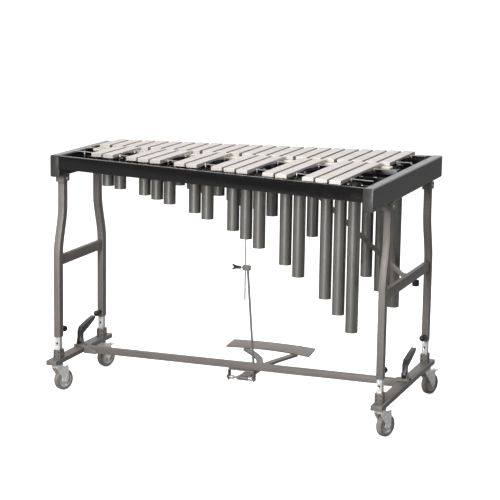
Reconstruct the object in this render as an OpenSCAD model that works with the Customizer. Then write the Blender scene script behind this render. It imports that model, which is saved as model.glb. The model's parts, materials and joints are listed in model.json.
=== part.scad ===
/* [Playing frame] */
// Length over the outer faces of the two end rails
frame_l = 1240; // [1230:1:1250]
// Height of the end rails' top above the floor, legs fully lowered
rail_top = 850; // [848:1:856]
// Height of an end rail's section
rail_h = 76; // [70:1:80]
// Width of an end rail's section
rail_w = 34; // [32:1:36]
// Y of the front end of the low-note end rail
front_low_y = -476; // [-480:1:-470]
// Y of the back end of the low-note end rail
back_low_y = 390; // [386:1:396]
// Y of the front end of the high-note end rail
front_high_y = -219; // [-222:1:-214]
// Y of the back end of the high-note end rail
back_high_y = 230; // [226:1:236]
// Height of the front and back rails
long_rail_h = 46; // [44:1:50]

/* [Bars] */
// Distance from one natural bar to the next
pitch = 49.45; // [49.3:0.05:49.6]
// X of the centre of the lowest natural bar
lowest_x = 506.7; // [504:0.1:508]
// Width of every bar
bar_w = 38.5; // [37:0.5:40]
// Thickness of every bar
bar_t = 12.5; // [11:0.5:13]
// Height of the bars' undersides
bar_z = 850; // [850:1:852]

/* [Resonators] */
// Outer diameter of a resonator tube
tube_d = 42; // [40:0.5:43]
// Height of the tubes' open mouths
tube_top = 826; // [822:1:828]
// Wall of a tube
tube_wall = 1.5; // [1:0.25:2]

/* [Stand] */
// X of the middle of each foot beam
foot_x = 612; // [610:1:614]
// Distance of the leg centres from the front and back, low-note end
leg_low_y = [-291, 285];
// Distance of the leg centres from the front and back, high-note end
leg_high_y = [-184, 177];
// Height of the lower end of the outer legs
leg_bottom = 198; // [194:1:204]
// How far the leg tops lean inwards
leg_lean = 37; // [30:1:40]

/* [Casters] */
// Wheel diameter
wheel_d = 75; // [73:1:76]
// Distance from the swivel axis to the wheel's axle
trail = 26; // [24:1:28]
// Way the casters trail, measured from +X
trail_angle = 66; // [62:1:70]

/* [Pedal] */
// Y of the pedal's pivot
pivot_y = -14; // [-15:1:-13]
// Height of the pedal's pivot
pivot_z = 72; // [71:1:73]
// Width of the foot plate
pedal_w = 344; // [320:2:350]

/* [Hidden] */
half_l = frame_l / 2;
rail_in = half_l - rail_w;
rail_bottom = rail_top - rail_h;
long_rail_top = rail_top - 1;
semitones = [0, 2, 4, 6, 7, 9, 11];
sharp_steps = [0, 1, 2, 4, 5];
natural_count = 22;
lowest_note_hz = 174.614;
quarter_sound = 343000 / 4;
naturals = [for (i = [0:natural_count - 1]) i];
sharps = [for (i = [0:natural_count - 2]) if (len(search(i % 7, sharp_steps)) > 0) i];
split_index = 10;

// Straight lines in plan, as [Y at X = 0, slope]
front_line = [(front_low_y + front_high_y) / 2, (front_low_y - front_high_y) / frame_l];
back_line = [(back_low_y + back_high_y) / 2, (back_low_y - back_high_y) / frame_l];
sharp_front_line = [-310.8, -0.262];
sharp_back_line = [22, 0];
natural_near_line = [38, 0];
natural_far_line = [289.5, 0.153];
node_part = 0.224;
sharp_front_node = blend_line(sharp_front_line, sharp_back_line, node_part);
sharp_back_node = blend_line(sharp_back_line, sharp_front_line, node_part);
natural_near_node = blend_line(natural_near_line, natural_far_line, node_part);
natural_far_node = blend_line(natural_far_line, natural_near_line, node_part);
sharp_mid = [-152, -0.13];
natural_mid = [164, 0.0765];
sharp_stretch = 1.08;
natural_stretch = 1.01;
tube_extra = 45;
tube_fade = 60;

cord_d = 3;
cord_hole_d = 4;
cord_z = bar_z + bar_t / 2 - 0.5;
bar_rail_w = 14;
bar_rail_z = 800;
bar_rail_h = 26;
post_d = 6;
strip_t = 3;
strip_z = 790;
strip_h = 24;

foot_w = 40;
foot_z = 103;
foot_h = 17;
foot_wall = 2.5;
foot_low_y = [-345, 340];
foot_high_y = [-237, 237];
beam_s = 23;
beam_in = foot_x - foot_w / 2;
socket_top = 152;
leg_x = 608;
leg_w = 23;
leg_d = 29;
leg_wall = 1.9;
leg_bend_z = 491;
leg_bend_end_z = 665;
inner_w = 18.4;
inner_d = 24.4;
inner_top = 480;
cross_z = 455;
cross_h = 35;
cross_w = 15;

pull_y = 26;
pull_foot_x = 55;
pull_top_x = 26;
pull_bottom_z = 80;
clamp_z = 452;
thin_rod_x = 16;
pedal_z = 74;
pedal_t = 6;
stem_x = [8, 48];

damper_y = 30;
damper_w = 44;
damper_half_l = 560;
felt_top = bar_z - 0.4;
felt_t = 9;
felt_low_x = 534;

lever_z = 142;
knob_z = 217;

function at(line, x) = line[0] + line[1] * x;
function blend_line(a, b, t) = [a[0] + (b[0] - a[0]) * t, a[1] + (b[1] - a[1]) * t];
function natural_x(i) = lowest_x - pitch * i;
function sharp_x(i) = lowest_x - pitch * (i + 0.5);
function step_of(i) = 12 * floor(i / 7) + semitones[i % 7];
function hertz(step) = lowest_note_hz * pow(2, step / 12);
function quarter_wave(step) = quarter_sound / hertz(step);
function tube_len(step, stretch) = stretch * quarter_wave(step) + tube_extra * exp(-quarter_wave(step) / tube_fade);
function bend_part(z) = min(1, max(0, (z - leg_bend_z) / (leg_bend_end_z - leg_bend_z)));
function lean_at(z) = leg_lean * (3 - 2 * bend_part(z)) * pow(bend_part(z), 2);
function unit(v) = v / norm(v);
function step_way(p, k) = unit(p[min(k + 1, len(p) - 1)] - p[min(k, len(p) - 2)]);
function back_way(p, k) = step_way(p, max(k - 1, 0));
function mid_way(p, k) = unit(step_way(p, k) + back_way(p, k));
function side_way(p, k) = [-mid_way(p, k)[1], mid_way(p, k)[0]] / (mid_way(p, k) * back_way(p, k));
function caster_pos() = [
    [-foot_x, leg_high_y[0]], [-foot_x, leg_high_y[1]], [foot_x, leg_low_y[0]], [foot_x, leg_low_y[1]]];

// A strip between the end rails, w wide in Y, along a line in plan
module plan_strip(line, off, w, z, h, x = rail_in) {
    translate([0, 0, z])
        linear_extrude(h)
            polygon([[-x, at(line, -x) + off - w / 2], [x, at(line, x) + off - w / 2],
                [x, at(line, x) + off + w / 2], [-x, at(line, -x) + off + w / 2]]);
}

// A cylinder along a line in plan
module plan_rod(line, d, z, x0, x1) {
    angle = atan(line[1]);
    translate([x0, at(line, x0), z])
        rotate([0, 0, angle])
            rotate([0, 90, 0])
                cylinder(h = (x1 - x0) / cos(angle), d = d, $fn = 24);
}

// One tuned bar with its arch and its two cross holes
module bar(x, y0, y1, near_node, far_node) {
    arch_l = (y1 - y0) * 0.42;
    arch_h = 4.5;
    arch_r = (arch_l * arch_l / 4 + arch_h * arch_h) / (2 * arch_h);
    difference() {
        translate([x - bar_w / 2, y0, bar_z])
            cube([bar_w, y1 - y0, bar_t]);
        translate([x - bar_w, (y0 + y1) / 2, bar_z + arch_h - arch_r])
            rotate([0, 90, 0])
                cylinder(h = 2 * bar_w, r = arch_r, $fn = 480);
        plan_rod(near_node, cord_hole_d, cord_z, x - bar_w, x + bar_w);
        plan_rod(far_node, cord_hole_d, cord_z, x - bar_w, x + bar_w);
    }
}

module natural_bars(first, last) {
    for (i = [first:last]) {
        x = natural_x(i);
        bar(x, at(natural_near_line, x), at(natural_far_line, x), natural_near_node, natural_far_node);
    }
}

module sharp_bars(list) {
    for (i = list) {
        x = sharp_x(i);
        bar(x, at(sharp_front_line, x), at(sharp_back_line, x), sharp_back_node, sharp_front_node);
    }
}

// One closed-bottom resonator tube
module tube(x, y, length) {
    floor_t = 3;
    translate([x, y, tube_top - length])
        difference() {
            cylinder(h = length, d = tube_d, $fn = 48);
            translate([0, 0, floor_t])
                cylinder(h = length, d = tube_d - 2 * tube_wall, $fn = 48);
        }
}

// A channel foot with a boss for each caster stem
module foot_beam(x, y, casters) {
    boss_d = 30;
    stem_hole_d = 10.1;
    stem_hole_top = 114;
    color("dimgray")
        difference() {
            union() {
                difference() {
                    translate([x - foot_w / 2, y[0], foot_z])
                        cube([foot_w, y[1] - y[0], foot_h]);
                    translate([x - foot_w / 2 + foot_wall, y[0] + foot_wall, foot_z - 1])
                        cube([foot_w - 2 * foot_wall, y[1] - y[0] - 2 * foot_wall, foot_h - foot_wall + 1]);
                }
                for (c = casters)
                    translate([x, c, foot_z - 4])
                        cylinder(h = foot_h + 3, d = boss_d, $fn = 48);
            }
            for (c = casters)
                translate([x, c, foot_z - 5])
                    cylinder(h = stem_hole_top - foot_z + 5, d = stem_hole_d, $fn = 32);
        }
}

module foot_beam_low() {
    foot_beam(foot_x, foot_low_y, leg_low_y);
}

module foot_beam_high() {
    foot_beam(-foot_x, foot_high_y, leg_high_y);
}

module lower_beam() {
    wall = 2;
    color("dimgray")
        difference() {
            translate([-beam_in, -beam_s / 2, foot_z])
                cube([2 * beam_in, beam_s, beam_s]);
            translate([-beam_in - 1, -beam_s / 2 + wall, foot_z + wall])
                cube([2 * beam_in + 2, beam_s - 2 * wall, beam_s - 2 * wall]);
        }
}

// Hooked cheeks at each beam end, which carry the clamp lever's pin
module end_bracket() {
    cheek_t = 3;
    profile = [[-72, 100], [-21, 100], [-21, 121], [19, 121], [19, 130], [-24, 130], [-72, 112]];
    ear_in = 8.5;
    ear_t = 3;
    for (side = [-1, 1])
        translate([0, side * (beam_s / 2 + cheek_t / 2), 0])
            rotate([90, 0, 0])
                linear_extrude(cheek_t, center = true)
                    polygon(profile);
    translate([-21, -beam_s / 2, 127])
        cube([38, beam_s, 3]);
    for (side = [-1, 1])
        translate([side * (ear_in + ear_t / 2), 0, 0])
            rotate([90, 0, 90])
                linear_extrude(ear_t, center = true)
                    polygon([[-10, 127], [10, 127], [7, 150], [-7, 150]]);
    translate([0, 0, lever_z])
        rotate([0, 90, 0])
            cylinder(h = 2 * (ear_in + ear_t) + 1, d = 6, center = true, $fn = 32);
}

module beam_end_brackets() {
    color("dimgray") {
        translate([foot_x, 0, 0])
            end_bracket();
        translate([-foot_x, 0, 0])
            mirror([1, 0, 0])
                end_bracket();
    }
}

module each_leg() {
    for (y = leg_low_y)
        translate([leg_x, y, 0])
            children();
    for (y = leg_high_y)
        translate([-leg_x, y, 0])
            children();
}

module leg_sockets() {
    socket_w = 27;
    socket_d = 34;
    screw_d = 7;
    color("dimgray")
        each_leg()
            difference() {
                union() {
                    translate([-socket_w / 2, -socket_d / 2, foot_z + foot_h])
                        cube([socket_w, socket_d, socket_top - foot_z - foot_h]);
                    translate([0, 0, 136])
                        rotate([0, 90, 0])
                            cylinder(h = socket_w + 6, d = screw_d, center = true, $fn = 24);
                }
                translate([-inner_w / 2, -inner_d / 2, foot_z + foot_h + 2])
                    cube([inner_w, inner_d, socket_top]);
            }
}

module height_tubes() {
    wall = 1.6;
    hole_d = 8;
    color("gainsboro")
        each_leg()
            difference() {
                translate([-inner_w / 2, -inner_d / 2, foot_z + foot_h + 2])
                    cube([inner_w, inner_d, inner_top - foot_z - foot_h - 2]);
                translate([-inner_w / 2 + wall, -inner_d / 2 + wall, foot_z + foot_h])
                    cube([inner_w - 2 * wall, inner_d - 2 * wall, inner_top]);
                for (k = [0:6])
                    translate([0, 0, 175 + 25 * k])
                        rotate([90, 0, 0])
                            cylinder(h = inner_d * 2, d = hole_d, center = true, $fn = 24);
            }
}

module pedal_bracket() {
    cheek_t = 3;
    pin_d = 8;
    color("dimgray")
        difference() {
            union() {
                translate([-25, -beam_s / 2 - 10, foot_z - 4])
                    cube([95, beam_s + 10, 4]);
                translate([-25, pivot_y - 12, pivot_z - 9])
                    cube([cheek_t, 26, foot_z - 4 - pivot_z + 9]);
                translate([70 - cheek_t, 0, 0])
                    rotate([90, 0, 90])
                        linear_extrude(cheek_t)
                            polygon([[pivot_y - 7.5, foot_z - 4], [pivot_y - 9, pivot_z - 6], [pivot_y, pivot_z - 11],
                                [pivot_y + 9, pivot_z - 4], [beam_s / 2, foot_z - 4]]);
            }
            translate([-30, pivot_y, pivot_z])
                rotate([0, 90, 0])
                    cylinder(h = 110, d = pin_d, $fn = 32);
        }
}

module pedal_axle() {
    color("tan") {
        translate([-29, pivot_y, pivot_z])
            rotate([0, 90, 0])
                cylinder(h = 103, d = 8, $fn = 32);
        for (x = [-32, 70.5])
            translate([x, pivot_y, pivot_z])
                rotate([0, 90, 0])
                    cylinder(h = 4, d = 14, $fn = 6);
    }
}

// Two short torsion coils beside the pedal's stem
module pedal_spring() {
    wire_d = 2.5;
    color("silver")
        for (x0 = [-18, 51])
            for (k = [0:4])
                translate([x0 + k * 2.7, pivot_y, pivot_z])
                    rotate([0, 90, 0])
                        rotate_extrude($fn = 32)
                            translate([6.2, 0])
                                circle(d = wire_d, $fn = 16);
}

// Rounded-corner hollow section along Y between two ends
module end_rail(x, y0, y1) {
    r = 5;
    wall = 3;
    color("black")
        difference() {
            translate([x, y0, 0])
                rotate([-90, 0, 0])
                    linear_extrude(y1 - y0)
                        translate([0, -rail_bottom - rail_h / 2])
                            round_rect(rail_w, rail_h, r);
            translate([x, y0 - 1, 0])
                rotate([-90, 0, 0])
                    linear_extrude(y1 - y0 + 2)
                        translate([0, -rail_bottom - rail_h / 2])
                            round_rect(rail_w - 2 * wall, rail_h - 2 * wall, r - wall);
        }
}

module round_rect(w, h, r) {
    union() {
        square([w - 2 * r, h], center = true);
        square([w, h - 2 * r], center = true);
        for (i = [-1, 1])
            for (j = [-1, 1])
                translate([i * (w / 2 - r), j * (h / 2 - r)])
                    circle(r = r, $fn = 32);
    }
}

module end_rail_low() {
    end_rail(half_l - rail_w / 2, front_low_y + 3, back_low_y - 3);
}

module end_rail_high() {
    end_rail(-half_l + rail_w / 2, front_high_y + 3, back_high_y - 3);
}

module end_cap(x, y) {
    translate([x, y, 0])
        rotate([-90, 0, 0])
            linear_extrude(3)
                translate([0, -rail_bottom - rail_h / 2])
                    round_rect(rail_w, rail_h, 5);
}

module rail_end_caps() {
    color("dimgray") {
        end_cap(half_l - rail_w / 2, front_low_y);
        end_cap(half_l - rail_w / 2, back_low_y - 3);
        end_cap(-half_l + rail_w / 2, front_high_y);
        end_cap(-half_l + rail_w / 2, back_high_y - 3);
    }
}

// Channel-shaped long rail, open towards the bars
module long_rail(line, side) {
    wall = 3;
    depth = 18;
    plan_strip(line, side * wall / 2, wall, long_rail_top - long_rail_h, long_rail_h);
    plan_strip(line, side * depth / 2, depth, long_rail_top - wall, wall);
    plan_strip(line, side * depth / 2, depth, long_rail_top - long_rail_h, wall);
}

module front_rail() {
    color("black")
        long_rail(front_line, 1);
}

module back_rail() {
    color("black")
        long_rail(back_line, -1);
}

// Blocks that clasp each leg top, and a gusset plate in each front corner
module leg_brackets() {
    block_w = 31;
    block_d = 48;
    block_h = 24;
    gusset = 60;
    color("dimgray") {
        for (side = [-1, 1])
            for (end = [0, 1]) {
                y = side > 0 ? leg_low_y[end] : leg_high_y[end];
                inward = end == 0 ? 1 : -1;
                difference() {
                    translate([side * leg_x - block_w / 2, y + inward * leg_lean - block_d / 2,
                        rail_bottom - block_h])
                        cube([block_w, block_d, block_h]);
                    leg_shape(side * leg_x, y, inward, leg_w / 2, leg_d / 2);
                }
            }
        for (side = [-1, 1]) {
            corner_y = at(front_line, side * rail_in) + 18;
            translate([0, 0, long_rail_top - long_rail_h])
                linear_extrude(3)
                    polygon([[side * rail_in, corner_y], [side * (rail_in - gusset),
                        at(front_line, side * (rail_in - gusset)) + 18], [side * rail_in, corner_y + gusset]]);
        }
    }
}

module bar_rails() {
    color("black")
        for (line = [sharp_front_node, sharp_back_node, natural_near_node, natural_far_node])
            plan_strip(line, 0, bar_rail_w, bar_rail_z, bar_rail_h);
}

// Post beside a bar; the cord lies on its top
module cord_post(x, line) {
    base = bar_rail_z + bar_rail_h;
    translate([x, at(line, x), base])
        cylinder(h = cord_z - cord_d / 2 - base, d = post_d, $fn = 24);
    translate([x, at(line, x), base])
        cylinder(h = 4, d = post_d + 3, $fn = 24);
}

module cord_posts() {
    color("silver") {
        for (i = [0:natural_count - 2])
            for (line = [natural_near_node, natural_far_node])
                cord_post(sharp_x(i), line);
        for (x = [natural_x(-0.5), natural_x(natural_count - 0.5)])
            for (line = [natural_near_node, natural_far_node])
                cord_post(x, line);
        for (i = [0:natural_count - 2])
            for (line = [sharp_front_node, sharp_back_node])
                cord_post(natural_x(i), line);
        for (line = [sharp_front_node, sharp_back_node])
            cord_post(natural_x(natural_count - 1), line);
    }
}

module bar_cords() {
    reach = rail_in - 2;
    color("white")
        for (line = [sharp_front_node, sharp_back_node, natural_near_node, natural_far_node])
            plan_rod(line, cord_d, cord_z, -reach, reach);
}

module bars_natural_low() {
    color("silver")
        natural_bars(0, split_index);
}

module bars_natural_high() {
    color("silver")
        natural_bars(split_index + 1, natural_count - 1);
}

module bars_sharp_low() {
    color("silver")
        sharp_bars([for (i = sharps) if (i <= split_index) i]);
}

module bars_sharp_high() {
    color("silver")
        sharp_bars([for (i = sharps) if (i > split_index) i]);
}

module resonators_natural() {
    color("darkslategray")
        for (i = naturals)
            tube(natural_x(i), at(natural_mid, natural_x(i)), tube_len(step_of(i), natural_stretch));
}

module resonators_sharp() {
    color("darkslategray")
        for (i = sharps)
            tube(sharp_x(i), at(sharp_mid, sharp_x(i)), tube_len(step_of(i) + 1, sharp_stretch));
}

module resonator_strips() {
    gap = tube_d / 2 + strip_t / 2 + 0.1;
    color("dimgray")
        for (line = [sharp_mid, natural_mid])
            for (side = [-1, 1])
                plan_strip(line, side * gap / cos(atan(line[1])), strip_t, strip_z, strip_h);
}

// Leg outline: straight below, bending inwards and straight again at its top
module leg_shape(x, y, inward, half_w, half_d) {
    steps = 8;
    top = rail_bottom;
    bend_h = leg_bend_end_z - leg_bend_z;
    levels = concat([for (k = [0:steps]) leg_bend_z + bend_h * k / steps], [top]);
    left = concat([[-half_d, leg_bottom]], [for (z = levels) [-half_d + inward * lean_at(z), z]]);
    right = concat([for (k = [steps + 1:-1:0]) [half_d + inward * lean_at(levels[k]), levels[k]]],
        [[half_d, leg_bottom]]);
    translate([x, y, 0])
        rotate([90, 0, 90])
            linear_extrude(2 * half_w, center = true)
                polygon(concat(left, right));
}

module leg(x, y, inward) {
    screw_hole_d = 6.2;
    difference() {
        leg_shape(x, y, inward, leg_w / 2, leg_d / 2);
        translate([0, 0, -0.01])
            leg_shape(x, y, inward, leg_w / 2 - leg_wall, leg_d / 2 - leg_wall);
        translate([x, y + inward * leg_d / 2, knob_z])
            rotate([90, 0, 0])
                cylinder(h = 3 * leg_wall, d = screw_hole_d, center = true, $fn = 24);
    }
}

module legs_low() {
    color("dimgray") {
        leg(leg_x, leg_low_y[0], 1);
        leg(leg_x, leg_low_y[1], -1);
    }
}

module legs_high() {
    color("dimgray") {
        leg(-leg_x, leg_high_y[0], 1);
        leg(-leg_x, leg_high_y[1], -1);
    }
}

module crossbars() {
    color("dimgray")
        for (side = [-1, 1]) {
            y = side > 0 ? leg_low_y : leg_high_y;
            difference() {
                translate([side * leg_x - cross_w / 2, y[0] + leg_d / 2, cross_z])
                    cube([cross_w, y[1] - y[0] - leg_d, cross_h]);
                if (side > 0)
                    translate([leg_x, 121, cross_z - 1])
                        cylinder(h = cross_h, d = 6.1, $fn = 24);
            }
        }
}

// Flat stay from the low crossbar up to a strut under the bar rails
module diagonal_brace() {
    foot = [leg_x - cross_w / 2, cross_z + cross_h - 12];
    top = [215, bar_rail_z - 6];
    run = foot[0] - top[0];
    rise = top[1] - foot[1];
    slope = atan(rise / run);
    color("dimgray") {
        translate([top[0], 10, top[1]])
            rotate([0, slope, 0])
                translate([0, -2, -8])
                    cube([run / cos(slope) - 6, 4, 16]);
        translate([top[0] - 12, at(sharp_back_node, top[0]) - bar_rail_w / 2, bar_rail_z - 6])
            cube([24, at(natural_near_node, top[0]) - at(sharp_back_node, top[0]) + bar_rail_w, 6]);
        translate([foot[0] - 10, -4, cross_z])
            cube([10, 30, cross_h]);
    }
}

module bolt_head(d, h) {
    cylinder(h = h, d = d, $fn = 6);
}

module frame_bolts() {
    color("silver") {
        for (side = [-1, 1])
            for (end = [0, 1]) {
                y = side > 0 ? leg_low_y[end] : leg_high_y[end];
                inward = end == 0 ? 1 : -1;
                translate([side * (leg_x - 15.5), y + inward * leg_lean, rail_bottom - 12])
                    rotate([0, -side * 90, 0])
                        bolt_head(10, 4);
                translate([side * (leg_x + 15.5), y + inward * leg_lean, rail_bottom - 12])
                    rotate([0, side * 90, 0])
                        bolt_head(10, 3);
            }
    }
}

// Clamp screw through the inward face of a leg, with a ball grip
module leg_knob(x, y, inward) {
    grip_d = 22;
    color("black")
        translate([x, y, knob_z])
            rotate([-inward * 90, 0, 0]) {
                translate([0, 0, leg_d / 2 - leg_wall + 0.1])
                    cylinder(h = 28, d = 6.05, $fn = 24);
                translate([0, 0, leg_d / 2 + 0.4])
                    cylinder(h = 6, d = 13, $fn = 32);
                translate([0, 0, leg_d / 2 + 32])
                    sphere(d = grip_d, $fn = 32);
            }
}

module leg_knob_front_low() {
    leg_knob(leg_x, leg_low_y[0], 1);
}

module leg_knob_back_low() {
    leg_knob(leg_x, leg_low_y[1], -1);
}

module leg_knob_front_high() {
    leg_knob(-leg_x, leg_high_y[0], 1);
}

module leg_knob_back_high() {
    leg_knob(-leg_x, leg_high_y[1], -1);
}

// Cam head with an upright stub and a handle that slopes up towards the back
module clamp_lever(x) {
    color("black") {
        translate([x, 0, lever_z])
            rotate([90, 0, 90])
                difference() {
                    linear_extrude(16, center = true)
                        union() {
                            circle(r = 11, $fn = 48);
                            polygon([[-9, 0], [10, 0], [13, 26], [60, 41], [104, 57], [113, 65], [108, 72],
                                [60, 64], [4, 52], [-9, 38]]);
                        }
                    cylinder(h = 40, d = 6.1, center = true, $fn = 32);
                }
    }
}

module clamp_lever_low() {
    clamp_lever(foot_x);
}

module clamp_lever_high() {
    clamp_lever(-foot_x);
}

module brace_knob() {
    color("black")
        translate([leg_x, 121, 0]) {
            translate([0, 0, cross_z - 26])
                cylinder(h = 20, d = 24, $fn = 48);
            translate([0, 0, cross_z - 7])
                cylinder(h = 30, d = 6, $fn = 24);
        }
}

// Curved foot plate, hollowed towards the beam
module pedal_plate() {
    steps = 14;
    half = pedal_w / 2;
    middle = -14;
    near = [for (k = [0:steps]) let (t = -1 + 2 * k / steps)
        [middle + half * t * 0.985, 354 - 14 * t + 26 * (1 - t * t)]];
    far = [for (k = [0:steps]) let (t = 1 - 2 * k / steps)
        [middle + half * t * 0.97 - 12, 471 - 8 * t + 18 * (1 - t * t)]];
    color("dimgray")
        translate([0, 0, pedal_z + 3])
            linear_extrude(pedal_t)
                polygon(concat(near, far));
}

// Flat bar of width w along a list of points in plan, mitred at its bends
module plan_path(points, w, t) {
    last = len(points) - 1;
    one_side = [for (k = [0:last]) points[k] + side_way(points, k) * w / 2];
    other_side = [for (k = [last:-1:0]) points[k] - side_way(points, k) * w / 2];
    linear_extrude(t)
        polygon(concat(one_side, other_side));
}

// Stem on the pivot, which forks into two curved arms
module pedal_arms() {
    arm_t = 9;
    left_path = [[24, 150], [12, 208], [-14, 270], [-56, 328], [-108, 384]];
    right_path = [[32, 150], [42, 208], [58, 270], [75, 326], [90, 376]];
    color("dimgray")
        difference() {
            union() {
                translate([0, 0, pedal_z + 3 - arm_t]) {
                    plan_path(left_path, 24, arm_t);
                    plan_path(right_path, 24, arm_t);
                }
                translate([stem_x[0], pivot_y, pedal_z + 3 - arm_t])
                    cube([stem_x[1] - stem_x[0], 170, arm_t]);
                translate([stem_x[0], pivot_y, pivot_z])
                    rotate([0, 90, 0])
                        cylinder(h = stem_x[1] - stem_x[0], d = 16, $fn = 48);
                translate([stem_x[1] - 8, pull_y - 9, pedal_z + 3 - arm_t])
                    cube([8, 18, pivot_z - pedal_z - 3 + arm_t + 6]);
                translate([stem_x[1] - 1, pull_y, pivot_z])
                    rotate([0, 90, 0])
                        cylinder(h = 15, d = 6, $fn = 24);
            }
            translate([stem_x[0] - 1, pivot_y, pivot_z])
                rotate([0, 90, 0])
                    cylinder(h = 60, d = 8.1, $fn = 32);
        }
}

// Lower pull rod, from the pedal's crank pin up to the clamp
module pull_rod() {
    eye_w = 8;
    rod_d = 8;
    run = pull_foot_x - pull_top_x;
    rise = clamp_z - pull_bottom_z;
    color("dimgray")
        difference() {
            union() {
                translate([pull_foot_x - eye_w / 2, pull_y, pivot_z])
                    rotate([0, 90, 0])
                        cylinder(h = eye_w, d = 15, $fn = 32);
                translate([pull_foot_x, pull_y, pull_bottom_z - 3])
                    rotate([0, -atan(run / rise), 0])
                        cylinder(h = norm([run, rise]) + 2, d = rod_d, $fn = 32);
            }
            translate([pull_foot_x - eye_w, pull_y, pivot_z])
                rotate([0, 90, 0])
                    cylinder(h = 2 * eye_w, d = 7.4, $fn = 32);
            translate([pull_top_x - 20, pull_y - 20, clamp_z])
                cube([40, 40, 20]);
        }
}

module rod_clamp() {
    color("dimgray")
        difference() {
            translate([8, pull_y - 8, clamp_z])
                cube([26, 16, 17]);
            translate([thin_rod_x, pull_y, clamp_z - 1])
                cylinder(h = 20, d = 5.16, $fn = 32);
            translate([0, pull_y, clamp_z + 8.5])
                rotate([0, 90, 0])
                    cylinder(h = 13, d = 4.16, $fn = 24);
        }
}

module rod_thumbscrew() {
    wing_t = 5;
    color("black")
        translate([0, pull_y, clamp_z + 8.5]) {
            translate([-12, 0, 0])
                rotate([0, 90, 0])
                    cylinder(h = 25, d = 4, $fn = 24);
            translate([-14, 0, 0])
                rotate([0, 90, 0])
                    cylinder(h = 12, d = 12, $fn = 32);
            rotate([90, 0, 0])
                linear_extrude(wing_t, center = true)
                    polygon([[-12, -4], [-30, -10], [-34, -7], [-26, 0], [-34, 7], [-30, 10], [-12, 4]]);
        }
}

module damper_channel() {
    wall = 2;
    depth = 16;
    base = felt_top - felt_t - depth;
    color("dimgray") {
        translate([-damper_half_l, damper_y - damper_w / 2, base + depth - wall])
            cube([2 * damper_half_l, damper_w, wall]);
        for (side = [-1, 1])
            translate([-damper_half_l, damper_y + side * (damper_w / 2 - wall / 2) - wall / 2, base])
                cube([2 * damper_half_l, wall, depth]);
    }
}

module damper_felt() {
    color("beige")
        translate([-damper_half_l - 3, damper_y - damper_w / 2 - 1, felt_top - felt_t])
            cube([damper_half_l + 3 + felt_low_x, damper_w + 2, felt_t]);
}

module damper_rod() {
    top = felt_top - felt_t - 2;
    low = clamp_z - 107;
    color("gray") {
        translate([thin_rod_x, pull_y, low])
            cylinder(h = top - low, d = 5, $fn = 32);
        translate([thin_rod_x, pull_y, top - 8])
            cylinder(h = 8, d = 14, $fn = 6);
    }
}

// Places a caster piece: local +X is the way it trails
module caster(i) {
    translate([caster_pos()[i - 1][0], caster_pos()[i - 1][1], 0])
        rotate([0, 0, trail_angle])
            children();
}

module caster_fork(i) {
    inner_half = 13.5;
    plate_t = 3;
    color("silver")
        caster(i) {
            difference() {
                union() {
                    translate([0, 0, 86])
                        cylinder(h = 12.5, d = 38, $fn = 48);
                    translate([0, 0, 92])
                        cylinder(h = 20, d = 10, $fn = 32);
                    for (side = [-1, 1])
                        translate([0, side * (inner_half + plate_t / 2), 0])
                            rotate([90, 0, 0])
                                linear_extrude(plate_t, center = true)
                                    polygon([[-14, 90], [36, 90], [38, 74], [trail + 10, wheel_d / 2 - 2],
                                        [trail + 4, wheel_d / 2 - 9], [trail - 4, wheel_d / 2 - 9],
                                        [trail - 11, wheel_d / 2 + 2], [-14, 80]]);
                    translate([-14, -inner_half - 1, 84])
                        cube([30, 2 * inner_half + 2, 6]);
                    translate([trail, 0, wheel_d / 2])
                        rotate([90, 0, 0])
                            cylinder(h = 2 * inner_half + 2 * plate_t + 5, d = 8, center = true, $fn = 32);
                    translate([30, 0, 83])
                        rotate([90, 0, 0])
                            cylinder(h = 2 * inner_half + 2 * plate_t + 2, d = 4, center = true, $fn = 24);
                }
            }
        }
}

module wheel_hub(i) {
    hub_r = 27;
    half_w = 10;
    color("lightgray")
        caster(i)
            translate([trail, 0, wheel_d / 2])
                rotate([90, 0, 0])
                    rotate_extrude($fn = 64)
                        polygon([[4.05, -12.5], [9, -12.5], [10, -9], [14, -5], [21, -5], [23, -half_w],
                            [hub_r, -half_w], [hub_r, half_w], [23, half_w], [21, 5], [14, 5], [10, 9],
                            [9, 12.5], [4.05, 12.5]]);
}

module tyre(i) {
    hub_r = 27;
    half_w = 11;
    edge = 5;
    outer = wheel_d / 2;
    color("gray")
        caster(i)
            translate([trail, 0, outer])
                rotate([90, 0, 0])
                    rotate_extrude($fn = 64)
                        union() {
                            polygon([[hub_r, -half_w], [outer - edge, -half_w], [outer - edge, half_w],
                                [hub_r, half_w]]);
                            translate([outer - edge - 0.01, -half_w + edge])
                                square([edge + 0.01, 2 * (half_w - edge)]);
                            for (side = [-1, 1])
                                translate([outer - edge, side * (half_w - edge)])
                                    circle(r = edge, $fn = 32);
                        }
}

// Foot-operated brake tab, pivoted on the fork's upper pin
module brake(i) {
    half_w = 12;
    color("silver")
        caster(i)
            rotate([90, 0, 0])
                difference() {
                    linear_extrude(2 * half_w, center = true)
                        union() {
                            translate([30, 83])
                                circle(r = 4, $fn = 32);
                            polygon([[30, 80.5], [46, 79.5], [60, 84], [59, 87], [46, 83], [30, 87]]);
                        }
                    translate([30, 83, 0])
                        cylinder(h = 40, d = 4.12, center = true, $fn = 24);
                }
}

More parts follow.
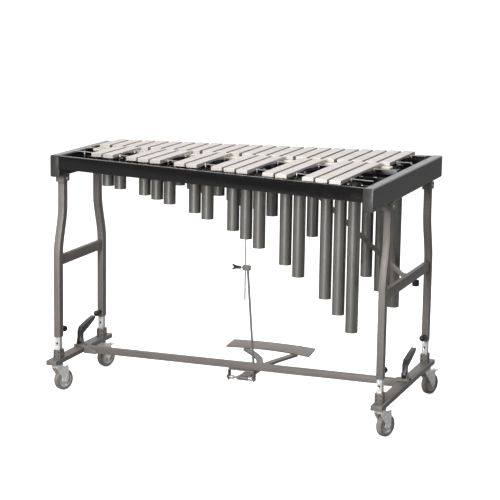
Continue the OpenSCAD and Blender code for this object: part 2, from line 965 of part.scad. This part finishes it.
foot_beam_low();
foot_beam_high();
lower_beam();
beam_end_brackets();
leg_sockets();
height_tubes();
pedal_bracket();
pedal_axle();
pedal_spring();
end_rail_low();
end_rail_high();
rail_end_caps();
front_rail();
back_rail();
leg_brackets();
bar_rails();
cord_posts();
bar_cords();
bars_natural_low();
bars_natural_high();
bars_sharp_low();
bars_sharp_high();
resonators_natural();
resonators_sharp();
resonator_strips();
legs_low();
legs_high();
crossbars();
diagonal_brace();
frame_bolts();
leg_knob_front_low();
leg_knob_back_low();
leg_knob_front_high();
leg_knob_back_high();
clamp_lever_low();
clamp_lever_high();
brace_knob();
pedal_plate();
pedal_arms();
pull_rod();
rod_clamp();
rod_thumbscrew();
damper_channel();
damper_felt();
damper_rod();
caster_fork(1);  // caster_fork_1
caster_fork(2);  // caster_fork_2
caster_fork(3);  // caster_fork_3
caster_fork(4);  // caster_fork_4
wheel_hub(1);  // wheel_hub_1
wheel_hub(2);  // wheel_hub_2
wheel_hub(3);  // wheel_hub_3
wheel_hub(4);  // wheel_hub_4
tyre(1);  // tyre_1
tyre(2);  // tyre_2
tyre(3);  // tyre_3
tyre(4);  // tyre_4
brake(2);  // brake_2
brake(4);  // brake_4
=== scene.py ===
import json
import math
import random

import bmesh
import bpy
from mathutils import Matrix, Vector


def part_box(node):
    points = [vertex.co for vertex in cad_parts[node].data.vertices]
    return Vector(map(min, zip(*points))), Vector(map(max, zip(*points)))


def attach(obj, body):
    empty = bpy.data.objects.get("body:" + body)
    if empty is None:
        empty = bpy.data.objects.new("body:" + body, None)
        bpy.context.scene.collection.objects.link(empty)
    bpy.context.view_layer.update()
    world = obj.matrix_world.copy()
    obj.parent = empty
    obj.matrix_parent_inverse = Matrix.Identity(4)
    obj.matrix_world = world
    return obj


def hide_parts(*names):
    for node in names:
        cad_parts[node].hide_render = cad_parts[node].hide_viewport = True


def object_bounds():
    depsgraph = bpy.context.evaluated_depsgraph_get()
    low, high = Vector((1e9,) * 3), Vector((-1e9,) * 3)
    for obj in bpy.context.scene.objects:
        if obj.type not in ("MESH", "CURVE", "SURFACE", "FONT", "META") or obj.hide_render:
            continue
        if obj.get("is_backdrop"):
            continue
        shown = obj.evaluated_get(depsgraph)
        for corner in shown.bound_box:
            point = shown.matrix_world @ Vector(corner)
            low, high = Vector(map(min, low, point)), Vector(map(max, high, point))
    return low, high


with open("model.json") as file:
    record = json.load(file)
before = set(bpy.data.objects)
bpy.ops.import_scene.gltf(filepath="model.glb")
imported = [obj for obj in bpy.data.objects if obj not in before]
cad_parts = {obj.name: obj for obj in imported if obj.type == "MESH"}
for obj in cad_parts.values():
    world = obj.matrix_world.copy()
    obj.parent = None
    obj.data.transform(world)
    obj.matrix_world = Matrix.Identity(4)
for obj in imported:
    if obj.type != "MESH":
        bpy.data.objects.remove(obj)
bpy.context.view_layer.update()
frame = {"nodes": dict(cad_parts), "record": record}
MM = 0.001
WELD = 2e-6


# Camera at the photograph's angle

CAMERA_SPOT = (2.1254, -5.6933, 1.6758)
CAMERA_TURN = (20.1, 10.7, 0.9)
SENSOR_WIDTH = 36
LENS = 127.5


def make_camera():
    yaw, pitch, roll = (math.radians(angle) for angle in CAMERA_TURN)
    flat = math.cos(pitch)
    forward = Vector((-math.sin(yaw) * flat, math.cos(yaw) * flat, -math.sin(pitch)))
    level = Vector((math.cos(yaw), math.sin(yaw), 0))
    above = level.cross(forward)
    right = level * math.cos(roll) + above * math.sin(roll)
    up = above * math.cos(roll) - level * math.sin(roll)
    data = bpy.data.cameras.new("camera")
    data.sensor_width = SENSOR_WIDTH
    data.lens = LENS
    data.clip_end = 60
    camera = bpy.data.objects.new("camera", data)
    bpy.context.scene.collection.objects.link(camera)
    turn = Matrix((right, up, -forward)).transposed().to_4x4()
    camera.matrix_world = Matrix.Translation(CAMERA_SPOT) @ turn
    bpy.context.scene.camera = camera


make_camera()


# Materials

class Nodes:
    """Short names for building one material's node tree."""

    def __init__(self, name):
        self.mat = bpy.data.materials.new(name)
        self.mat.use_nodes = True
        self.tree = self.mat.node_tree
        self.shader = self.tree.nodes["Principled BSDF"]
        self.place = self.add("ShaderNodeTexCoord").outputs["Object"]

    def add(self, kind, **values):
        node = self.tree.nodes.new(kind)
        for key, value in values.items():
            setattr(node, key, value)
        return node

    def link(self, a, b):
        self.tree.links.new(a, b)

    def stretch(self, x, y, z):
        node = self.add("ShaderNodeMapping")
        node.inputs["Scale"].default_value = (x, y, z)
        self.link(self.place, node.inputs["Vector"])
        return node.outputs["Vector"]

    def noise(self, scale, detail=4, rough=0.55, where=None):
        node = self.add("ShaderNodeTexNoise")
        node.inputs["Scale"].default_value = scale
        node.inputs["Detail"].default_value = detail
        node.inputs["Roughness"].default_value = rough
        self.link(where or self.place, node.inputs["Vector"])
        return node.outputs["Fac"]

    def cells(self, scale, where=None):
        node = self.add("ShaderNodeTexVoronoi", feature="SMOOTH_F1")
        node.inputs["Scale"].default_value = scale
        self.link(where or self.place, node.inputs["Vector"])
        return node.outputs["Distance"]

    def ramp(self, fac, stops):
        node = self.add("ShaderNodeValToRGB")
        band = node.color_ramp
        while len(band.elements) < len(stops):
            band.elements.new(0.5)
        for element, (spot, colour) in zip(band.elements, stops):
            element.position = spot
            element.color = (*colour, 1)
        self.link(fac, node.inputs["Fac"])
        return node.outputs["Color"]

    def span(self, fac, low, high):
        node = self.add("ShaderNodeMapRange")
        node.inputs["From Min"].default_value = 0.3
        node.inputs["From Max"].default_value = 0.7
        node.inputs["To Min"].default_value = low
        node.inputs["To Max"].default_value = high
        self.link(fac, node.inputs["Value"])
        return node.outputs["Result"]

    def blend(self, fac, a, b, way="MIX"):
        node = self.add("ShaderNodeMix", data_type="RGBA", blend_type=way)
        for key, value in (("Factor", fac), ("A", a), ("B", b)):
            kind = "VALUE" if key == "Factor" else "RGBA"
            slot = [s for s in node.inputs if s.name == key and s.type == kind][0]
            if isinstance(value, (int, float)):
                slot.default_value = value
            elif isinstance(value, tuple):
                slot.default_value = (*value, 1)
            else:
                self.link(value, slot)
        return [s for s in node.outputs if s.type == "RGBA"][0]

    def bump(self, height, strength, distance):
        node = self.add("ShaderNodeBump")
        node.inputs["Strength"].default_value = strength
        node.inputs["Distance"].default_value = distance
        self.link(height, node.inputs["Height"])
        earlier = self.shader.inputs["Normal"].links
        if earlier:
            self.link(earlier[0].from_socket, node.inputs["Normal"])
        self.link(node.outputs["Normal"], self.shader.inputs["Normal"])

    def set(self, **values):
        for key, value in values.items():
            socket = self.shader.inputs[key.replace("_", " ")]
            if isinstance(value, (int, float)):
                socket.default_value = value
            elif isinstance(value, tuple):
                socket.default_value = (*value, 1)
            else:
                self.link(value, socket)
        return self.mat


def shades(colour, spread):
    """A darker and a lighter form of a colour."""
    low = tuple(max(0, c * (1 - spread)) for c in colour)
    high = tuple(min(1, c * (1 + spread)) for c in colour)
    return low, high


def paint(name, colour, rough, scuff, hammer=0.0, metallic=0.0, shine=0.5, scuffed=0.1):
    """Paint with a faint fleck, sparse fine scuffs and an optional hammered surface."""
    n = Nodes(name)
    low, high = shades(colour, 0.08)
    tint = n.ramp(n.noise(9, 6), [(0.3, low), (0.7, high)])
    scratch = n.noise(1, 6, 0.7, n.stretch(420, 60, 160))
    marks = n.ramp(scratch, [(0.66, (0, 0, 0)), (0.76, (scuffed, scuffed, scuffed))])
    n.set(Base_Color=n.blend(marks, tint, scuff),
          Roughness=n.span(n.noise(35, 5), rough - 0.03, rough + 0.05))
    n.set(Metallic=metallic, Specular_IOR_Level=shine)
    if hammer:
        n.bump(n.cells(420), hammer, 0.0004)
    n.bump(n.noise(700, 3), 0.06, 0.0002)
    return n.mat


def bar_alloy():
    """Matt anodised aluminium with a fine grain along each bar."""
    n = Nodes("bar_alloy")
    grain = n.noise(1, 5, 0.6, n.stretch(1500, 22, 1500))
    cloud = n.noise(14, 5)
    tint = n.ramp(cloud, [(0.3, (0.52, 0.485, 0.46)), (0.7, (0.6, 0.562, 0.533))])
    streak = n.ramp(grain, [(0.35, (0.86, 0.86, 0.86)), (0.65, (1, 1, 1))])
    n.set(Base_Color=n.blend(0.6, tint, n.blend(1.0, tint, streak, "MULTIPLY")))
    n.set(Metallic=0.55, Roughness=n.span(grain, 0.4, 0.52))
    n.bump(grain, 0.12, 0.0001)
    n.bump(n.noise(260, 3), 0.05, 0.0002)
    return n.mat


def chrome(name, colour, rough, metallic):
    n = Nodes(name)
    low, high = shades(colour, 0.07)
    n.set(Base_Color=n.ramp(n.noise(30), [(0.35, low), (0.65, high)]), Metallic=metallic)
    n.set(Roughness=n.span(n.noise(60, 4), rough, rough + 0.08))
    n.bump(n.noise(90, 2), 0.02, 0.0001)
    return n.mat


def drawn_steel():
    n = Nodes("rod_steel")
    grain = n.noise(1, 4, 0.6, n.stretch(900, 900, 18))
    n.set(Base_Color=n.ramp(grain, [(0.3, (0.33, 0.33, 0.31)), (0.7, (0.48, 0.48, 0.46))]), Metallic=0.9)
    n.set(Roughness=n.span(grain, 0.3, 0.42))
    n.bump(grain, 0.15, 0.0001)
    return n.mat


def plastic(name, colour, rough, grain=0.25):
    n = Nodes(name)
    low, high = shades(colour, 0.14)
    n.set(Base_Color=n.ramp(n.noise(40), [(0.35, low), (0.65, high)]))
    n.set(Roughness=n.span(n.noise(90), rough - 0.05, rough + 0.07))
    n.bump(n.cells(1100), grain, 0.0002)
    return n.mat


def rubber():
    n = Nodes("tyre_rubber")
    dust = n.ramp(n.noise(26, 6), [(0.35, (0.16, 0.14, 0.122)), (0.65, (0.24, 0.212, 0.187))])
    worn = n.ramp(n.noise(5), [(0.5, (0, 0, 0)), (0.8, (0.4, 0.4, 0.4))])
    n.set(Base_Color=n.blend(worn, dust, (0.3, 0.27, 0.245)))
    n.set(Roughness=n.span(n.noise(60), 0.68, 0.82))
    n.bump(n.noise(320, 5), 0.3, 0.0004)
    return n.mat


def wool_felt():
    n = Nodes("felt")
    fibre = n.noise(420, 8, 0.7, n.stretch(1, 1.6, 2.4))
    tuft = n.noise(55, 5)
    tint = n.ramp(tuft, [(0.3, (0.52, 0.46, 0.35)), (0.7, (0.68, 0.63, 0.51))])
    hairs = n.ramp(fibre, [(0.35, (0.42, 0.37, 0.28)), (0.6, (0.8, 0.76, 0.65))])
    n.set(Base_Color=n.blend(0.35, tint, hairs))
    n.set(Roughness=0.95, Sheen_Weight=0.5, Sheen_Roughness=0.5)
    n.bump(fibre, 0.6, 0.0009)
    n.bump(tuft, 0.4, 0.001)
    return n.mat


def braid():
    n = Nodes("cord")
    weave = n.cells(900)
    n.set(Base_Color=n.ramp(weave, [(0.1, (0.12, 0.12, 0.115)), (0.5, (0.36, 0.36, 0.35))]))
    n.set(Roughness=n.span(n.noise(200), 0.7, 0.85), Sheen_Weight=0.2)
    n.bump(weave, 0.5, 0.0003)
    return n.mat


LOOKS = {
    "bronze_paint": paint("bronze_paint", (0.17, 0.155, 0.143), 0.5, (0.32, 0.3, 0.27),
                          hammer=0.3, metallic=0.15, shine=0.35, scuffed=0.3),
    "black_paint": paint("black_paint", (0.0055, 0.005, 0.0055), 0.16, (0.05, 0.05, 0.05), shine=0.4),
    "resonator_paint": paint("resonator_paint", (0.25, 0.242, 0.228), 0.32, (0.34, 0.33, 0.32),
                             metallic=0.85, scuffed=0.15),
    "dark_steel": paint("dark_steel", (0.045, 0.04, 0.042), 0.4, (0.2, 0.19, 0.19), metallic=0.4),
    "bright_steel": chrome("bright_steel", (0.84, 0.825, 0.82), 0.22, 0.6),
    "brass_axle": chrome("brass_axle", (0.34, 0.29, 0.22), 0.38, 0.9),
    "cap_plastic": plastic("cap_plastic", (0.028, 0.027, 0.025), 0.34),
    "cord": braid(),
    "bar_alloy": bar_alloy(),
    "black_plastic": plastic("black_plastic", (0.018, 0.018, 0.018), 0.36),
    "felt": wool_felt(),
    "rod_steel": drawn_steel(),
    "hub_plastic": plastic("hub_plastic", (0.5, 0.5, 0.5), 0.34, 0.12),
    "tyre_rubber": rubber(),
}
SLOT_OF = {s["node"]: s["material_slot"] for s in frame["record"]["subparts"]}
BODY_OF = {n: b for b, ns in frame["record"]["behaviour"]["bodies"].items() for n in ns}


def dress(obj, slot):
    obj.data.materials.clear()
    obj.data.materials.append(LOOKS[slot])


for name, obj in frame["nodes"].items():
    dress(obj, SLOT_OF[name])


# Mesh helpers

BEVEL_ANGLE = 35
FLAT_ANGLE = 0.5
POINT_R = 1e-5
STEEP = 0.95


def piece(name, mesh, body, slot, *replaced):
    obj = bpy.data.objects.new(name, mesh)
    bpy.context.scene.collection.objects.link(obj)
    dress(obj, slot)
    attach(obj, body)
    if replaced:
        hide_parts(*replaced)
    return obj


def from_bmesh(bm, name):
    bmesh.ops.recalc_face_normals(bm, faces=bm.faces)
    mesh = bpy.data.meshes.new(name)
    bm.to_mesh(mesh)
    bm.free()
    for face in mesh.polygons:
        face.use_smooth = True
    return mesh


def close_ends(bm, rings):
    """Bridges rings in a row and caps both ends."""
    for a, b in zip(rings, rings[1:]):
        bridge(bm, a, b)
    bm.faces.new(rings[0][::-1])
    bm.faces.new(rings[-1])


def add_bevel(obj, width):
    bevel = obj.modifiers.new("edges", "BEVEL")
    bevel.width = width
    bevel.segments = 2
    bevel.limit_method = "ANGLE"
    bevel.angle_limit = math.radians(BEVEL_ANGLE)
    bevel.harden_normals = True


def eased(node, width):
    """A copy of a CAD node's mesh with its sharp edges rounded over, which replaces the node."""
    source = frame["nodes"][node]
    bm = bmesh.new()
    bm.from_mesh(source.data)
    bmesh.ops.remove_doubles(bm, verts=bm.verts, dist=WELD)
    bmesh.ops.dissolve_limit(bm, angle_limit=math.radians(FLAT_ANGLE), verts=bm.verts, edges=bm.edges)
    obj = piece(node + "_shape", from_bmesh(bm, node), BODY_OF[node], SLOT_OF[node], node)
    add_bevel(obj, width)


def ring(bm, centre, across, up, radius, count):
    made = []
    for k in range(count):
        a = 2 * math.pi * k / count
        made.append(bm.verts.new(centre + across * math.cos(a) * radius + up * math.sin(a) * radius))
    return made


def bridge(bm, a, b):
    for k in range(len(a)):
        bm.faces.new((a[k - 1], a[k], b[k], b[k - 1]))


def lathe(bm, centre, axis, profile, count):
    """Turns (radius, height) pairs about an axis and caps both ends."""
    axis = axis.normalized()
    across = axis.orthogonal().normalized()
    up = axis.cross(across)
    rings = [ring(bm, centre + axis * h, across, up, max(r, POINT_R), count) for r, h in profile]
    close_ends(bm, rings)


def tube_along(bm, points, radius, count, twist=None):
    """A closed tube along points; twist(k, angle) may change the radius."""
    rings = []
    for k, p in enumerate(points):
        way = (points[min(k + 1, len(points) - 1)] - points[max(k - 1, 0)]).normalized()
        if abs(way.z) < STEEP:
            across = way.cross(Vector((0, 0, 1))).normalized()
        else:
            across = Vector((1, 0, 0))
        up = across.cross(way)
        made = []
        for j in range(count):
            a = 2 * math.pi * j / count
            r = radius * (twist(k, a) if twist else 1)
            made.append(bm.verts.new(p + across * math.cos(a) * r + up * math.sin(a) * r))
        rings.append(made)
    close_ends(bm, rings)


# The separate solids of a CAD node

def islands(node):
    """Lowest and highest corner of each separate solid of a CAD node."""
    bm = bmesh.new()
    bm.from_mesh(frame["nodes"][node].data)
    bmesh.ops.remove_doubles(bm, verts=bm.verts, dist=WELD)
    left = set(bm.verts)
    found = []
    while left:
        stack = [left.pop()]
        group = []
        while stack:
            v = stack.pop()
            group.append(v.co.copy())
            for e in v.link_edges:
                o = e.other_vert(v)
                if o in left:
                    left.remove(o)
                    stack.append(o)
        found.append((Vector([min(c[i] for c in group) for i in range(3)]),
                      Vector([max(c[i] for c in group) for i in range(3)])))
    bm.free()
    return sorted(found, key=lambda box: box[0].x)


# Tuned bars: eased edges and ends, and a tuning arch below

BAR_EASE = 1.3 * MM
LOW_EASE = 0.8 * MM
CORNER_STEPS = 4
END_EASE = 1.2  # mm
END_SLOPE = 0.6
END_STEPS = 4
ARCH_PART = 0.42
ARCH_H = 4.5 * MM
ARCH_POWER = 1.2
ARCH_STEPS = 8


def bar_section(x0, x1, z0, z1):
    """The bar's outline across its width, counter-clockwise, with rounded corners."""
    out = []
    r_top, r_low = BAR_EASE, LOW_EASE
    corners = [(x1 - r_low, z0 + r_low, r_low, -90), (x1 - r_top, z1 - r_top, r_top, 0),
               (x0 + r_top, z1 - r_top, r_top, 90), (x0 + r_low, z0 + r_low, r_low, 180)]
    for cx, cz, r, start in corners:
        for k in range(CORNER_STEPS + 1):
            a = math.radians(start + 90 * k / CORNER_STEPS)
            out.append((cx + r * math.cos(a), cz + r * math.sin(a)))
    return out


def add_bar(bm, low, high):
    middle, length = (low.y + high.y) / 2, high.y - low.y
    half_arch = length * ARCH_PART / 2
    ends = [END_EASE * k / END_STEPS for k in range(END_STEPS + 1)]
    arch = range(-ARCH_STEPS, ARCH_STEPS + 1)
    stations = [(low.y + e * MM, (END_EASE - e) * END_SLOPE * MM) for e in ends]
    stations += [(middle + half_arch * t / ARCH_STEPS, 0) for t in arch]
    stations += [(high.y - e * MM, (END_EASE - e) * END_SLOPE * MM) for e in reversed(ends)]
    rings = []
    for y, inset in stations:
        s = min(1, abs(y - middle) / half_arch)
        lift = ARCH_H * (1 - s * s) ** ARCH_POWER
        outline = bar_section(low.x + inset, high.x - inset, low.z + lift + inset, high.z - inset)
        rings.append([bm.verts.new((x, y, z)) for x, z in outline])
    close_ends(bm, rings)


BAR_NODES = ["bars_natural_low", "bars_natural_high", "bars_sharp_low", "bars_sharp_high"]
for node in BAR_NODES:
    bm = bmesh.new()
    for low, high in islands(node):
        add_bar(bm, low, high)
    bars = piece(node + "_tuned", from_bmesh(bm, node), BODY_OF[node], "bar_alloy", node)
    bars.modifiers.new("weighted", "WEIGHTED_NORMAL").keep_sharp = True


# Suspension cords: three strands laid together

ROW_GAP = 12 * MM


def cord_lines():
    """Start and end of each suspension cord, from the CAD cords' own meshes."""
    bm = bmesh.new()
    bm.from_mesh(frame["nodes"]["bar_cords"].data)
    near = {}
    for v in bm.verts:
        side = 0 if v.co.x < 0 else 1
        near.setdefault(side, []).append(v.co.copy())
    bm.free()
    lines = []
    for side in (0, 1):
        ys = sorted(near[side], key=lambda c: c.y)
        groups = [[ys[0]]]
        for c in ys[1:]:
            if c.y - groups[-1][-1].y > ROW_GAP:
                groups.append([])
            groups[-1].append(c)
        lines.append([sum(g, Vector()) / len(g) for g in groups])
    return list(zip(*lines))


CORD_LINES = cord_lines()
CORD_R = 1.5 * MM
CORD_STEP = 1.5  # mm
LAY = 9 * MM
HALF_STRANDS = 1.5
GROOVE = 0.14


def strands(k, angle):
    """Outline of the laid cord at step k: three lobes that turn once in LAY."""
    turned = angle + 2 * math.pi * k * CORD_STEP * MM / LAY
    return 1 - GROOVE + GROOVE * abs(math.cos(HALF_STRANDS * turned))


def strand_cord():
    bm = bmesh.new()
    for start, end in CORD_LINES:
        count = int((end - start).length / (CORD_STEP * MM))
        points = [start.lerp(end, k / count) for k in range(count + 1)]
        tube_along(bm, points, CORD_R, 10, strands)
    piece("bar_cords_laid", from_bmesh(bm, "bar_cords_laid"), "playing_frame", "cord", "bar_cords")


strand_cord()


# Cord posts: flanged pin with a hook on top, and a rubber sleeve. Sizes in mm

PIN_FOOT = [(4.5, 0), (4.5, 1.2), (3.6, 2), (2, 2.6)]
PIN_TOP = [(2, 2), (1.7, 0.2)]
SLEEVE_FOOT = [(2.2, 3.5), (3, 4)]
SLEEVE_TOP = [(3, 5.5), (2.2, 5)]
HOOK_R = 0.9
HOOK_STEPS = 8
HOOK_REACH = 3
HOOK_DROPS = (3, 1.5)
HOOK_RISE = 1.5
HOOK_TALL = 2.4
HOOK_WIDE = 2.6
HOOK_TAIL = 1


def post_profile(foot, top, tall):
    """(radius, height) pairs: foot is measured up from the base, top down from the full height."""
    low = [(r * MM, h * MM) for r, h in foot]
    return low + [(r * MM, tall - h * MM) for r, h in top]


def hook_points(centre, side, up, tall):
    points = [centre + side * -HOOK_REACH * MM + up * (tall - drop * MM) for drop in HOOK_DROPS]
    for k in range(HOOK_STEPS + 1):
        a = math.pi * (1 - k / HOOK_STEPS)
        rise = tall + HOOK_RISE * MM + math.sin(a) * HOOK_TALL * MM
        points.append(centre + up * rise + side * math.cos(a) * HOOK_WIDE * MM)
    points.append(centre + up * (tall - HOOK_TAIL * MM) + side * HOOK_WIDE * MM)
    return points


def cord_posts():
    pins, sleeves = bmesh.new(), bmesh.new()
    side, up = Vector((0, 1, 0)), Vector((0, 0, 1))
    for low, high in islands("cord_posts"):
        centre = Vector(((low.x + high.x) / 2, (low.y + high.y) / 2, low.z))
        tall = high.z - low.z
        lathe(pins, centre, up, post_profile(PIN_FOOT, PIN_TOP, tall), 16)
        tube_along(pins, hook_points(centre, side, up, tall), HOOK_R * MM, 8)
        lathe(sleeves, centre, up, post_profile(SLEEVE_FOOT, SLEEVE_TOP, tall), 16)
    piece("cord_post_pins", from_bmesh(pins, "cord_post_pins"), "playing_frame", "bright_steel", "cord_posts")
    piece("cord_post_sleeves", from_bmesh(sleeves, "cord_post_sleeves"), "playing_frame", "black_plastic")


cord_posts()


# Damper felt: a long strip with soft, slightly uneven faces

FELT_SEED = 4
FELT_LONG_STEPS = 280
FELT_ACROSS_STEPS = 10
FELT_SOFT = 1.6 * MM
FELT_ROLL = 3 * MM
FELT_NAP = 0.35  # mm
FELT_EDGE = 2 * MM
FELT_BELLY = 0.3


def felt_tuck(inside):
    """How far a face is drawn in, at this distance from the strip's edge."""
    return FELT_SOFT * max(0, 1 - inside / FELT_ROLL) ** 2


def damper_felt():
    rng = random.Random(FELT_SEED)
    low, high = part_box("damper_felt")
    bm = bmesh.new()
    ys = [low.y + (high.y - low.y) * (k / FELT_ACROSS_STEPS) for k in range(FELT_ACROSS_STEPS + 1)]
    outline = [(y, False) for y in ys] + [(y, True) for y in reversed(ys)]
    rings = []
    for i in range(FELT_LONG_STEPS + 1):
        x = low.x + (high.x - low.x) * i / FELT_LONG_STEPS
        shrink = felt_tuck(min(x - low.x, high.x - x))
        made = []
        for y, top in outline:
            edge = min(y - low.y, high.y - y)
            tuck = felt_tuck(edge)
            wave = (rng.random() - 0.5) * FELT_NAP * MM
            z = (high.z - tuck - shrink - abs(wave)) if top else (low.z + tuck * FELT_BELLY + shrink)
            y += wave if 0 < edge < FELT_EDGE else 0
            made.append(bm.verts.new((x, y, z)))
        rings.append(made)
    close_ends(bm, rings)
    felt = piece("damper_felt_strip", from_bmesh(bm, "damper_felt_strip"), "damper", "felt", "damper_felt")


damper_felt()


# Sharp-edged metal: the same shapes with their edges eased

EASED = {
    "front_rail": 0.9, "back_rail": 0.9, "rail_end_caps": 0.8, "foot_beam_low": 1.2, "foot_beam_high": 1.2,
    "lower_beam": 1.2, "beam_end_brackets": 0.6, "leg_sockets": 0.9, "leg_brackets": 1.0, "legs_low": 1.3,
    "legs_high": 1.3, "crossbars": 1.3, "diagonal_brace": 0.6, "pedal_plate": 1.2, "pedal_arms": 1.0,
    "pedal_bracket": 0.5, "clamp_lever_low": 1.2, "clamp_lever_high": 1.2, "bar_rails": 0.9,
    "resonator_strips": 0.4, "damper_channel": 0.4, "rod_clamp": 0.8, "rod_thumbscrew": 0.6,
    "height_tubes": 0.6,
}
for node, width in EASED.items():
    eased(node, width * MM)


# Small fixings that show

SCREW_R = 2.6 * MM
SCREW_ASIDE = 8  # mm
SCREW_HEIGHTS = (0.3, 0.75)


def pan_head(bm, centre, axis, r):
    lathe(bm, centre, axis, [(r, 0), (r * 0.96, r * 0.35), (r * 0.7, r * 0.62), (r * 0.36, r * 0.7),
                             (r * 0.34, r * 0.35), (0, r * 0.35)], 20)


def foot_screws():
    bm = bmesh.new()
    for low, high in islands("leg_sockets"):
        middle = (low + high) / 2
        for side in (-1, 1):
            for z in SCREW_HEIGHTS:
                spot = Vector((middle.x + side * SCREW_ASIDE * MM, low.y, low.z + (high.z - low.z) * z))
                pan_head(bm, spot, Vector((0, -1, 0)), SCREW_R)
    piece("socket_screws", from_bmesh(bm, "socket_screws"), "base", "black_plastic")


foot_screws()


# Floor, backdrop light and lamps

FLOOR_HALF = 400
FLOOR_GLOW = 0.7
SIDE_LEAN = -0.45
SIDE_RANGE = (-0.5, 0.9)
SIDE_LIGHT = (0.16, 1.0)
LAMPS = [("key", (-0.2, -4.8, 2.4), (0, 0, 0.6), (1.1, 2.8), 290),
         ("fill", (-4.2, -2.5, 2.6), (0, 0, 0.5), (2, 2), 45),
         ("top", (-0.5, 0.5, 4.5), (0, 0, 0.8), (4, 3), 110)]


def floor():
    bm = bmesh.new()
    square = ((-1, -1), (1, -1), (1, 1), (-1, 1))
    corners = [bm.verts.new((x * FLOOR_HALF, y * FLOOR_HALF, 0)) for x, y in square]
    bm.faces.new(corners)
    bmesh.ops.subdivide_edges(bm, edges=bm.edges, cuts=4, use_grid_fill=True)
    obj = bpy.data.objects.new("floor", from_bmesh(bm, "floor"))
    bpy.context.scene.collection.objects.link(obj)
    n = Nodes("floor")
    seen = n.ramp(n.noise(1.5), [(0.3, (0.86, 0.86, 0.86)), (0.7, (0.9, 0.9, 0.9))])
    eye = n.add("ShaderNodeLightPath").outputs["Is Camera Ray"]
    glow = n.add("ShaderNodeMath", operation="MULTIPLY")
    glow.inputs[1].default_value = FLOOR_GLOW
    n.link(eye, glow.inputs[0])
    n.set(Base_Color=n.blend(eye, (0.3, 0.3, 0.3), seen), Roughness=0.8)
    n.set(Emission_Color=(1, 1, 1), Emission_Strength=glow.outputs[0])
    obj.data.materials.append(n.mat)
    obj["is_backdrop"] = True


def lamp(name, spot, aim, size, power):
    data = bpy.data.lights.new(name, "AREA")
    data.shape = "RECTANGLE"
    data.size, data.size_y = size
    data.energy = power
    obj = bpy.data.objects.new(name, data)
    bpy.context.scene.collection.objects.link(obj)
    obj.location = spot
    obj.rotation_euler = (Vector(aim) - Vector(spot)).to_track_quat("-Z", "Y").to_euler()


def backdrop():
    """White behind the object and to the eye, darker on the camera's side for reflections and shade."""
    world = bpy.data.worlds.new("studio")
    bpy.context.scene.world = world
    world.use_nodes = True
    tree = world.node_tree
    place = tree.nodes.new("ShaderNodeTexCoord")
    parts = tree.nodes.new("ShaderNodeSeparateXYZ")
    side = tree.nodes.new("ShaderNodeMapRange")
    lean = tree.nodes.new("ShaderNodeMath")
    lean.operation = "MULTIPLY_ADD"
    lean.inputs[1].default_value = SIDE_LEAN
    side.inputs["From Min"].default_value, side.inputs["From Max"].default_value = SIDE_RANGE
    side.inputs["To Min"].default_value, side.inputs["To Max"].default_value = SIDE_LIGHT
    eye = tree.nodes.new("ShaderNodeLightPath")
    pick = tree.nodes.new("ShaderNodeMix")
    pick.inputs["B"].default_value = 1.0
    tree.links.new(place.outputs["Generated"], parts.inputs["Vector"])
    tree.links.new(parts.outputs["X"], lean.inputs[0])
    tree.links.new(parts.outputs["Y"], lean.inputs[2])
    tree.links.new(lean.outputs["Value"], side.inputs["Value"])
    tree.links.new(eye.outputs["Is Camera Ray"], pick.inputs["Factor"])
    tree.links.new(side.outputs["Result"], pick.inputs["A"])
    tree.links.new(pick.outputs["Result"], tree.nodes["Background"].inputs["Strength"])
    tree.nodes["Background"].inputs["Color"].default_value = (1, 1, 1, 1)


def studio():
    backdrop()
    for settings in LAMPS:
        lamp(*settings)


floor()
studio()
bpy.context.scene.view_settings.view_transform = "Standard"

low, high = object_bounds()
